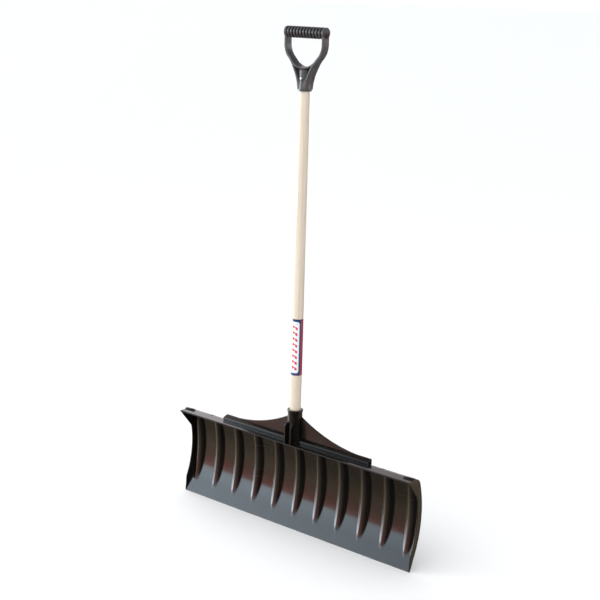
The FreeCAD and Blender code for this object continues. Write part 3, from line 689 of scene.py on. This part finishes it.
# Blade: the two fins in front of the socket.
finShape = {"spacing": 0.019, "thickness": 0.003, "reach": 0.029, "frontHeight": 0.048,
            "backHeight": 0.057}
finEdge = (finShape["spacing"] + finShape["thickness"]) / 2
finRoot = 0.0004 - math.sqrt(socketShape["radius"] ** 2 - finEdge ** 2)
finOutline = softened([(-finShape["reach"], sunk), (finRoot, sunk),
                       (finRoot, flangeTop + finShape["backHeight"]),
                       (-finShape["reach"], flangeTop + finShape["frontHeight"])], 0.0018)
finMesh = sidePair("socketFins", finOutline, finShape["thickness"], 0.0007, finShape["spacing"] / 2)
socketFins = placed("socketFins", finMesh, socketPlastic)
print("flange, web and socket made")


# Handle.
handleShape = {"topRadius": 0.0122, "straight": 0.180, "bevel": 0.002, "taperEnd": 0.010}
taperLow = woodLow.z + handleShape["straight"]
taperHigh = gripLow.z - handleShape["taperEnd"]


def woodRadius(height):
    share = min(max((height - taperLow) / (taperHigh - taperLow), 0), 1)
    return woodHigh.x + (handleShape["topRadius"] - woodHigh.x) * share


bevel = handleShape["bevel"]
stations = [woodLow.z + bevel + (woodHigh.z - woodLow.z - 2 * bevel) * i / 60 for i in range(61)]
woodProfile = ([(0, woodLow.z), (woodHigh.x - bevel, woodLow.z)] + [(woodRadius(z), z) for z in stations]
               + [(handleShape["topRadius"] - bevel, woodHigh.z), (0, woodHigh.z)])
woodHandle = placed("woodHandle", latheMesh("woodHandle", woodProfile, 72), handleWood)

# Label.
labelShape = {
    "film": 0.00025,
    "seam": 128.9,        # angles round the handle, in degrees
    "panelLow": -104.0,
    "panelHigh": 17.0,
    "stripeLow": 36.0,
    "stripeHigh": 74.0,
    "margin": 0.0075,
    "corner": 0.0055,
    "edging": 0.0011,
    "marks": 8,
    "markHalf": 0.0078,
    "notchHalf": 0.0016,
    "markSlant": 0.42,
    "markTurn": 14,       # marks' middle line from the panel's, in degrees
    "navy": (0.018, 0.040, 0.135, 1),
    "stripe": (0.36, 0.022, 0.045, 1),
    "edge": (0.22, 0.50, 0.72, 1),
    "panel": (0.86, 0.86, 0.87, 1),
    "mark": (0.62, 0.035, 0.05, 1),
    "dirt": (0.5, 0.46, 0.4, 1),
}


def sleeveMesh():
    work = bmesh.new()
    chart = work.loops.layers.uv.new("sleeve")
    steps, rows = 96, 24
    film = labelShape["film"]
    start = math.radians(labelShape["seam"])

    def ring(inside):
        made = []
        for j in range(rows + 1):
            z = labelLow.z + (labelHigh.z - labelLow.z) * j / rows
            line = []
            for i in range(steps + 1):
                angle = start + 2 * math.pi * i / steps
                lift = film * (0.55 + 0.42 * i / steps)  # wraps over itself at the seam
                radius = woodRadius(z) + (0.00002 if inside else lift)
                line.append(work.verts.new((radius * math.cos(angle), radius * math.sin(angle), z)))
            made.append(line)
        return made

    outside, within = ring(False), ring(True)

    def face(corners, places):
        made = work.faces.new(corners)
        for loop, (i, j) in zip(made.loops, places):
            loop[chart].uv = (i / steps, j / rows)

    for j in range(rows):
        for i in range(steps):
            places = [(i, j), (i + 1, j), (i + 1, j + 1), (i, j + 1)]
            face([outside[b][a] for a, b in places], places)
            face([within[b][a] for a, b in reversed(places)], places[::-1])
    for i in range(steps):
        low = [(i, 0), (i, 0), (i + 1, 0), (i + 1, 0)]
        high = [(i + 1, rows), (i + 1, rows), (i, rows), (i, rows)]
        face([outside[0][i], within[0][i], within[0][i + 1], outside[0][i + 1]], low)
        face([outside[rows][i + 1], within[rows][i + 1], within[rows][i], outside[rows][i]], high)
    for j in range(rows):
        first = [(0, j), (0, j + 1), (0, j + 1), (0, j)]
        last = [(steps, j), (steps, j), (steps, j + 1), (steps, j + 1)]
        face([outside[j][0], outside[j + 1][0], within[j + 1][0], within[j][0]], first)
        face([outside[j][steps], within[j][steps], within[j + 1][steps], outside[j + 1][steps]], last)
    mesh = bpy.data.meshes.new("labelSleeve")
    work.to_mesh(mesh)
    work.free()
    mesh.shade_smooth()
    mesh.set_sharp_from_angle(angle=math.radians(38))
    return mesh


def makeLabelFinish(name):
    finish, tree, shader = newFinish(name, IOR=1.5, Coat_Weight=0.35, Coat_Roughness=0.12, Roughness=0.4)
    chart = addNode(tree, "ShaderNodeUVMap", uv_map="sleeve").outputs[0]
    u, v, _ = addNode(tree, "ShaderNodeSeparateXYZ", {0: chart}).outputs
    radius = labelHigh.x
    length = labelHigh.z - labelLow.z
    panelHalf = length / 2 - labelShape["margin"]
    across = product(tree, maths(tree, "SUBTRACT", u, 0.5), 2 * math.pi * radius)
    along = product(tree, maths(tree, "SUBTRACT", v, 0.5), length)
    alongOff = maths(tree, "ABSOLUTE", along)

    def under(value, limit):
        return maths(tree, "LESS_THAN", value, limit)

    def inPanel(grow):
        low, high = (math.radians(labelShape[k]) * radius for k in ("panelLow", "panelHigh"))
        corner = labelShape["corner"]
        dx = maths(tree, "ABSOLUTE", maths(tree, "SUBTRACT", across, (low + high) / 2))
        dx = maths(tree, "MAXIMUM", maths(tree, "SUBTRACT", dx, (high - low) / 2 - corner), 0.0)
        dy = maths(tree, "MAXIMUM", maths(tree, "SUBTRACT", alongOff, panelHalf - corner), 0.0)
        return under(distance(tree, dx, dy), corner + grow)

    low, high = (math.radians(labelShape[k]) * radius for k in ("stripeLow", "stripeHigh"))
    stripe = product(tree, maths(tree, "GREATER_THAN", across, low), under(across, high))
    tone = blendColour(tree, stripe, labelShape["navy"], labelShape["stripe"])
    tone = blendColour(tree, inPanel(labelShape["edging"]), tone, labelShape["edge"])
    tone = blendColour(tree, inPanel(0.0), tone, labelShape["panel"])
    # A row of slanted bars with a notch in each: plain shapes, no lettering.
    middleAngle = (labelShape["panelLow"] + labelShape["panelHigh"]) / 2 + labelShape["markTurn"]
    local = maths(tree, "SUBTRACT", across, math.radians(middleAngle) * radius)
    step = (2 * panelHalf - 0.012) / labelShape["marks"]
    slanted = maths(tree, "ADD", along, product(tree, local, labelShape["markSlant"]))
    phase = maths(tree, "FRACT", maths(tree, "ADD", maths(tree, "DIVIDE", slanted, step), 20.0))
    bar = product(tree, maths(tree, "GREATER_THAN", phase, 0.2), under(phase, 0.66))
    offset = maths(tree, "ABSOLUTE", local)
    bar = product(tree, bar, under(offset, labelShape["markHalf"]))
    notch = product(tree, under(offset, labelShape["notchHalf"]), under(phase, 0.46))
    bar = product(tree, bar, maths(tree, "SUBTRACT", 1.0, notch))
    bar = product(tree, bar, under(alongOff, panelHalf - 0.004))
    tone = blendColour(tree, bar, tone, labelShape["mark"])
    smudge = noise(tree, objectPlace(tree), 60.0, 5.0)
    tone = blendColour(tree, span(tree, smudge, 0.55, 0.8, 0.0, 0.12), tone, labelShape["dirt"])
    tree.links.new(tone, shader.inputs["Base Color"])
    tree.links.new(span(tree, smudge, 0.3, 0.7, 0.3, 0.45), shader.inputs["Roughness"])
    wrinkle = noise(tree, objectPlace(tree, (60, 60, 260)), 1.0, 2.0)
    tree.links.new(bumped(tree, wrinkle, 0.00010, 0.5), shader.inputs["Normal"])
    return finish


labelSleeve = placed("labelSleeve", sleeveMesh(), makeLabelFinish("label_film"))
print("handle and label made")


# Grip.
gripShape = {
    "depth": 0.021,
    "throatDepth": 0.029,
    "waistLow": 0.050,       # the throat thins to the arms between these heights
    "waistHigh": 0.082,
    "rise": 0.139,
    "arm": 0.007,
    "armRadius": 0.050,
    "knee": 0.027,
    "arch": 0.057,
    "archRadius": 0.046,
    "archCorner": 47,        # degrees below the level, where an arch meets an arm
    "rimWidth": 0.0042,
    "recessAngle": 32,
    "recessFoot": 0.010,
    "recessTip": 0.0016,
    "web": 0.005,
    "round": 0.0015,
    "collar": 0.0159,
    "collarTop": 0.0149,
    "collarHeight": 0.053,
    "collarFlare": 0.0006,
    "collarTaper": 0.022,
    "boreDepth": 0.0473,
    "clearance": 0.00012,
    "barRadius": 0.0118,
    "barEnd": 0.0138,
    "ringRadius": 0.014,
    "ringRoot": 0.0105,
    "ringWidth": 0.0046,
    "ringPitch": 0.0095,
    "ringCount": 11,
}
mouth = gripLow.z
width = gripHigh.x
barHeight = mouth + gripShape["rise"]
arch = mouth + gripShape["arch"]
arm = gripShape["arm"]
kneeHeight = barHeight - gripShape["knee"]
armRadius = gripShape["armRadius"]
quarter = math.pi / 4
sweepX = width - armRadius * (1 - math.cos(quarter))
root = gripShape["collar"] - 0.003
throatRadius = (sweepX - root) / (1 - math.cos(quarter))
sweepZ = kneeHeight - armRadius * math.sin(quarter)
throatCentre = (root + throatRadius, sweepZ - throatRadius * math.sin(quarter))
startAngle = math.asin((mouth + 0.004 - throatCentre[1]) / throatRadius)
armCentre = (width - armRadius, kneeHeight)
rightSide = joined(
    arcRun(throatCentre, throatRadius, math.pi - startAngle, math.pi - quarter, 24),
    arcRun(armCentre, armRadius, -quarter, 0, 20),
    lineRun((width, kneeHeight), (width, barHeight), 5))
outerLoop = rightSide + [(-x, z) for x, z in reversed(rightSide)]
archRadius = gripShape["archRadius"]
archCentre = (0, arch + archRadius)
innerArm = armRadius - arm
cornerAngle = -math.radians(gripShape["archCorner"])
holeSide = joined(
    arcRun(archCentre, archRadius, -math.pi / 2, cornerAngle, 14),
    arcRun(armCentre, innerArm, -quarter, 0, 18),
    lineRun((width - arm, kneeHeight), (width - arm, barHeight - 0.002), 5))
holeLoop = holeSide + [(-x, z) for x, z in reversed(holeSide)]
recessTurn = math.radians(gripShape["recessAngle"])
recessTop = arcRun(archCentre, archRadius + gripShape["rimWidth"], -math.pi / 2 - recessTurn,
                   -math.pi / 2 + recessTurn, 14)
recessTip, recessFoot = gripShape["recessTip"], mouth + gripShape["recessFoot"]
recessLoop = softened(recessTop + [(recessTip, recessFoot), (-recessTip, recessFoot)], 0.0016, steps=2)


def depthAt(height):
    top = mouth + gripShape["waistHigh"]
    low = mouth + gripShape["waistLow"]
    share = min(max((height - low) / (top - low), 0), 1)
    share = share * share * (3 - 2 * share)
    return gripShape["throatDepth"] + (gripShape["depth"] - gripShape["throatDepth"]) * share


frameMesh = flatMesh("gripFrame", [outerLoop, holeLoop, recessLoop], gripShape["throatDepth"],
                     gripShape["round"], frontView)
for vertex in frameMesh.vertices:
    vertex.co.y *= depthAt(vertex.co.z) / gripShape["throatDepth"]
throatSide = [(x * 0.9, z) for x, z in rightSide[4:18] if z < arch - 0.004]
throatOutline = throatSide[::-1] + [(-x, z) for x, z in throatSide]
throatMesh = flatMesh("gripThroat", [throatOutline], gripShape["web"], 0.0003, frontView)
collarTop = mouth + gripShape["collarHeight"]
boreEnd = mouth + gripShape["boreDepth"]
gripBore = woodRadius(mouth) + gripShape["clearance"]
lipRadius = gripShape["collar"] + gripShape["collarFlare"]
collarProfile = [(0, boreEnd)] + softened([
    (gripBore, boreEnd), (gripBore, mouth), (lipRadius, mouth), (lipRadius, mouth + 0.005),
    (gripShape["collar"], mouth + 0.006), (gripShape["collarTop"], mouth + gripShape["collarTaper"]),
    (gripShape["collarTop"], collarTop - 0.003), (gripShape["collarTop"] - 0.003, collarTop),
], 0.001, closed=False) + [(0, collarTop)]
collarMesh = latheMesh("gripCollar", collarProfile, 72)
gripFrame = placed("gripFrame", together("gripFrame", [frameMesh, throatMesh, collarMesh]), gripPlastic)


def barTree():
    tree, given, out = pieceTree("grip_bar", {
        "Ring": ("Object", None), "Bar": ("Object", None), "Ring count": ("Int", 11),
        "Ring pitch": ("Float", 0.009), "Height": ("Float", 1.2), "Material": ("Material", None)})
    value = given.outputs
    side = product(tree, maths(tree, "SUBTRACT", value["Ring count"], 1.0),
                   product(tree, value["Ring pitch"], -0.5))
    start = addNode(tree, "ShaderNodeCombineXYZ", {0: side, 2: value["Height"]}).outputs[0]
    step = addNode(tree, "ShaderNodeCombineXYZ", {0: value["Ring pitch"]}).outputs[0]
    row = addNode(tree, "GeometryNodeMeshLine",
                  {"Count": value["Ring count"], "Start Location": start, "Offset": step})
    ring = addNode(tree, "GeometryNodeObjectInfo", {"Object": value["Ring"]})
    rings = addNode(tree, "GeometryNodeInstanceOnPoints",
                    {"Points": row.outputs[0], "Instance": ring.outputs["Geometry"]})
    bar = addNode(tree, "GeometryNodeObjectInfo", {"Object": value["Bar"]})
    both = addNode(tree, "GeometryNodeJoinGeometry")
    tree.links.new(rings.outputs[0], both.inputs[0])
    tree.links.new(bar.outputs["Geometry"], both.inputs[0])
    closeTree(tree, both.outputs[0], given, out)
    return tree


# The bar's finish carries the painted shade in the grooves between the rings.
barPlasticShaded = makeGripFinish("bar_plastic_groove_shade", barHeight)
alongX = Matrix.Rotation(math.pi / 2, 4, "Y")
ringHalf = gripShape["ringWidth"] / 2
ringIn, ringOut = gripShape["ringRoot"], gripShape["ringRadius"]
ringProfile = softened([(ringIn, -ringHalf), (ringOut, -ringHalf), (ringOut, ringHalf), (ringIn, ringHalf)],
                       0.0011, 3)
ringObject = placed("oneRing", latheMesh("oneRing", ringProfile, 48, alongX, closed=True), gripPlastic)
barEnd, barRadius = gripShape["barEnd"], gripShape["barRadius"]
barInner = width - arm
barProfile = softened([(0, -width), (barEnd, -width), (barEnd, -barInner), (barRadius, -barInner),
                       (barRadius, barInner), (barEnd, barInner), (barEnd, width), (0, width)],
                      0.0014, closed=False)
barSeat = Matrix.Translation((0, 0, barHeight)) @ alongX
barObject = placed("plainBar", latheMesh("plainBar", barProfile, 64, barSeat), gripPlastic)
barCarrier = bpy.data.objects.new("bar_carrier", bpy.data.meshes.new("bar_carrier"))
bpy.context.scene.collection.objects.link(barCarrier)
barMesh = runTree(barCarrier, barTree(), {
    "Ring": ringObject, "Bar": barObject, "Ring count": gripShape["ringCount"],
    "Ring pitch": gripShape["ringPitch"], "Height": barHeight, "Material": barPlasticShaded}, "gripBar")
bpy.data.objects.remove(ringObject)
bpy.data.objects.remove(barObject)
gripBar = placed("gripBar", barMesh, barPlasticShaded)
print("grip made")


# Screws.
screwShape = {"head": 0.0044, "tall": 0.0029, "shank": 0.0021, "length": 0.017, "slot": 0.0011}


def screwMesh(name, seat):
    head, tall, shank = screwShape["head"], screwShape["tall"], screwShape["shank"]
    profile = [(0, -screwShape["length"]), (shank, -screwShape["length"] + 1.5 * shank), (shank, 0)]
    profile += [(head, 0), (head, tall * 0.35)]
    profile += [(head * math.cos(a) ** 0.7, tall * (0.35 + 0.65 * math.sin(a)))
                for a in (math.radians(d) for d in (15, 30, 45, 60, 75))] + [(0, tall)]
    body = placed(name, latheMesh(name, profile, 40), screwSteel)
    long, slim = head * 0.55, screwShape["slot"] / 2
    cross = [(slim, slim), (slim, long), (-slim, long), (-slim, slim), (-long, slim), (-long, -slim),
             (-slim, -slim), (-slim, -long), (slim, -long), (slim, -slim), (long, -slim), (long, slim)]
    recessSeat = Matrix.Translation((0, 0, tall * 1.05))
    cutter = placed("recess", flatMesh("recess", [cross], tall * 1.2, 0.00005, recessSeat), screwSteel)
    cut = body.modifiers.new("recess", "BOOLEAN")
    cut.object = cutter
    cut.operation = "DIFFERENCE"
    cut.solver = "EXACT"
    mesh = plainMesh(body, name)
    bpy.data.objects.remove(cutter)
    mesh.transform(seat)
    return cleaned(mesh)


def screwSeat(low, high, facing):
    face = low.y + screwShape["tall"] if facing < 0 else high.y - screwShape["tall"]
    spot = Matrix.Translation((0, face, (low.z + high.z) / 2))
    return spot @ Matrix.Rotation(-facing * math.pi / 2, 4, "X")


backSeat = screwSeat(socketScrewLow, socketScrewHigh, 1)
frontSeat = screwSeat(gripScrewLow, gripScrewHigh, -1)
socketScrew = placed("socketScrew", screwMesh("socketScrew", backSeat), screwSteel)
gripScrew = placed("gripScrew", screwMesh("gripScrew", frontSeat), screwSteel)
print("screws made")


# Riding and standing in.
standIns = {
    "blade": [bladeShell, endWalls, endPads, flangeBeam, gussetWeb, handleSocket, socketSkirt, socketFins],
    "handle": [woodHandle],
    "grip": [gripFrame, gripBar],
    "label": [labelSleeve],
    "socket_screw": [socketScrew],
    "grip_screw": [gripScrew],
}
for node, made in standIns.items():
    for piece in made:
        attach(piece, "root")
        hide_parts(node)

# Floor, lights and camera.
studio = {
    "floorSize": 240.0,
    "floor": (0.90, 0.90, 0.90, 1),
    "lens": 75.0,
    "camera": (1.9186, -2.3770, 1.3774),
    "yaw": 38.84,
    "pitch": 13.97,
    "roll": 1.77,
    "keyBox": {"place": (-2.6, -1.5, 2.6), "size": (1.6, 1.6), "power": 22, "tint": (1, 1, 1)},
    "fillBox": {"place": (2.8, -1.2, 1.6), "size": (1.8, 1.8), "power": 8, "tint": (0.94, 0.97, 1.0)},
}
floorMesh = bpy.data.meshes.new("floor")
far = studio["floorSize"] / 2
corners = [(-far, -far, 0), (far, -far, 0), (far, far, 0), (-far, far, 0)]
floorMesh.from_pydata(corners, [], [(0, 1, 2, 3)])
floor = placed("floor", floorMesh, newFinish("floor_paper", Base_Color=studio["floor"], Roughness=0.9)[0])
floor.location.z = cadLow.z - 0.0002
floor.visible_glossy = False


def softBox(name, aim=(0, 0, 0.5)):
    box = studio[name]
    light = bpy.data.lights.new(name, "AREA")
    light.shape = "RECTANGLE"
    light.size, light.size_y = box["size"]
    light.energy = box["power"]
    light.color = box["tint"]
    lamp = bpy.data.objects.new(name, light)
    bpy.context.scene.collection.objects.link(lamp)
    lamp.location = box["place"]
    lamp.rotation_euler = (Vector(aim) - Vector(box["place"])).to_track_quat("-Z", "Y").to_euler()
    lamp.visible_camera = False
    lamp.visible_glossy = False


softBox("keyBox")
softBox("fillBox")

# What the gloss mirrors: a pale wall low down all round, brightest on the left, over a brown floor.
# The tones run from straight down to straight up, and from the left to the right.
roomTones = {
    "heights": (
        (-1.0, (0.03, 0.024, 0.018)),
        (-0.55, (0.080, 0.064, 0.046)),
        (-0.34, (0.165, 0.130, 0.090)),
        (-0.16, (0.230, 0.125, 0.092)),
        (-0.05, (0.380, 0.140, 0.108)),   # reddish strip below the pale wall
        (0.0, (0.40, 0.160, 0.122)),
        (0.03, (0.74, 0.90, 1.0)),
        (0.33, (0.60, 0.70, 0.80)),
        (0.43, (0.10, 0.095, 0.09)),
        (1.0, (0.07, 0.07, 0.07))),
    "front": ((-1.0, 0.75), (-0.86, 0.55), (-0.74, 0.34), (-0.62, 0.30), (-0.48, 0.19), (0.0, 0.12),
              (0.35, 0.02), (1.0, 0.012)),
    "rear": ((-1.0, 0.45), (-0.62, (0.19, 0.150, 0.135)), (-0.45, (0.12, 0.10, 0.09)), (0.2, 0.07),
             (0.6, 0.30), (1.0, 0.25)),
    "window": (2.9, 4.6, 5.6),    # light from the far left, which reaches down to the floor
    "windowLeft": (-0.84, -0.93),
    "windowLow": (-0.36, -0.16),
    "strength": 11.0,
    "plain": 1.14,                # what the diffuse light and the background have
    "plainTint": (0.975, 0.985, 1.0, 1),
    "sideLight": 0.85,            # how much more of it comes from the left than from the right
}


def roomRamp(tree, value, stops):
    ramp = addNode(tree, "ShaderNodeValToRGB", {0: span(tree, value, -1.0, 1.0)})
    marks = ramp.color_ramp.elements  # starts with one mark at each end
    for place, _ in stops[1:-1]:
        marks.new((place + 1) / 2)
    for mark, (_, tone) in zip(marks, stops):
        mark.color = (*tone, 1) if isinstance(tone, tuple) else (tone, tone, tone, 1)
    return ramp.outputs[0]


world = bpy.data.worlds.new("studio")
bpy.context.scene.world = world
world.use_nodes = True
world.cycles.sampling_method = "NONE"  # mirrored and plain tones differ
room = world.node_tree
room.nodes.clear()
direction = addNode(room, "ShaderNodeTexCoord").outputs["Generated"]
sideways, forward, upward = addNode(room, "ShaderNodeSeparateXYZ", {0: direction}).outputs
walls = blendColour(room, span(room, forward, -0.25, 0.45), roomRamp(room, sideways, roomTones["front"]),
                    roomRamp(room, sideways, roomTones["rear"]))
seen = addNode(room, "ShaderNodeVectorMath", {0: roomRamp(room, upward, roomTones["heights"]), 1: walls},
               operation="MULTIPLY").outputs[0]
mirrored = addNode(room, "ShaderNodeBackground", {"Color": seen, "Strength": roomTones["strength"]})
glow = product(room, span(room, sideways, *roomTones["windowLeft"]),
               span(room, upward, *roomTones["windowLow"]))
window = addNode(room, "ShaderNodeBackground", {"Color": (*roomTones["window"], 1), "Strength": glow})
mirrored = addNode(room, "ShaderNodeAddShader", {0: mirrored.outputs[0], 1: window.outputs[0]})
toLeft = maths(room, "ADD", product(room, sideways, -0.78), product(room, forward, -0.63))
tilted = maths(room, "ADD", product(room, toLeft, roomTones["sideLight"]), 1.0)
plain = addNode(room, "ShaderNodeBackground", {"Color": roomTones["plainTint"],
                                               "Strength": product(room, tilted, roomTones["plain"])})
white = addNode(room, "ShaderNodeBackground", {"Color": (1, 1, 1, 1), "Strength": roomTones["plain"]})
path = addNode(room, "ShaderNodeLightPath")
unseen = addNode(room, "ShaderNodeMixShader", {0: path.outputs["Is Glossy Ray"], 1: plain.outputs[0],
                                               2: mirrored.outputs[0]})
mixed = addNode(room, "ShaderNodeMixShader", {0: path.outputs["Is Camera Ray"], 1: unseen.outputs[0],
                                              2: white.outputs[0]})
addNode(room, "ShaderNodeOutputWorld", {0: mixed.outputs[0]})
bpy.context.scene.view_settings.view_transform = "Standard"

camera = bpy.data.cameras.new("camera")
camera.lens = studio["lens"]
camera.clip_end = 500
eye = bpy.data.objects.new("camera", camera)
bpy.context.scene.collection.objects.link(eye)
yaw, pitch, roll = (math.radians(studio[k]) for k in ("yaw", "pitch", "roll"))
back = Vector((math.sin(yaw) * math.cos(pitch), -math.cos(yaw) * math.cos(pitch), math.sin(pitch)))
right = (-back).cross(Vector((0, 0, 1))).normalized()
up = back.cross(right)
rightRolled = right * math.cos(roll) + up * math.sin(roll)
upRolled = up * math.cos(roll) - right * math.sin(roll)
eye.matrix_world = Matrix.Translation(studio["camera"]) @ Matrix(
    (rightRolled, upRolled, back)).transposed().to_4x4()
bpy.context.scene.camera = eye
print("studio ready")
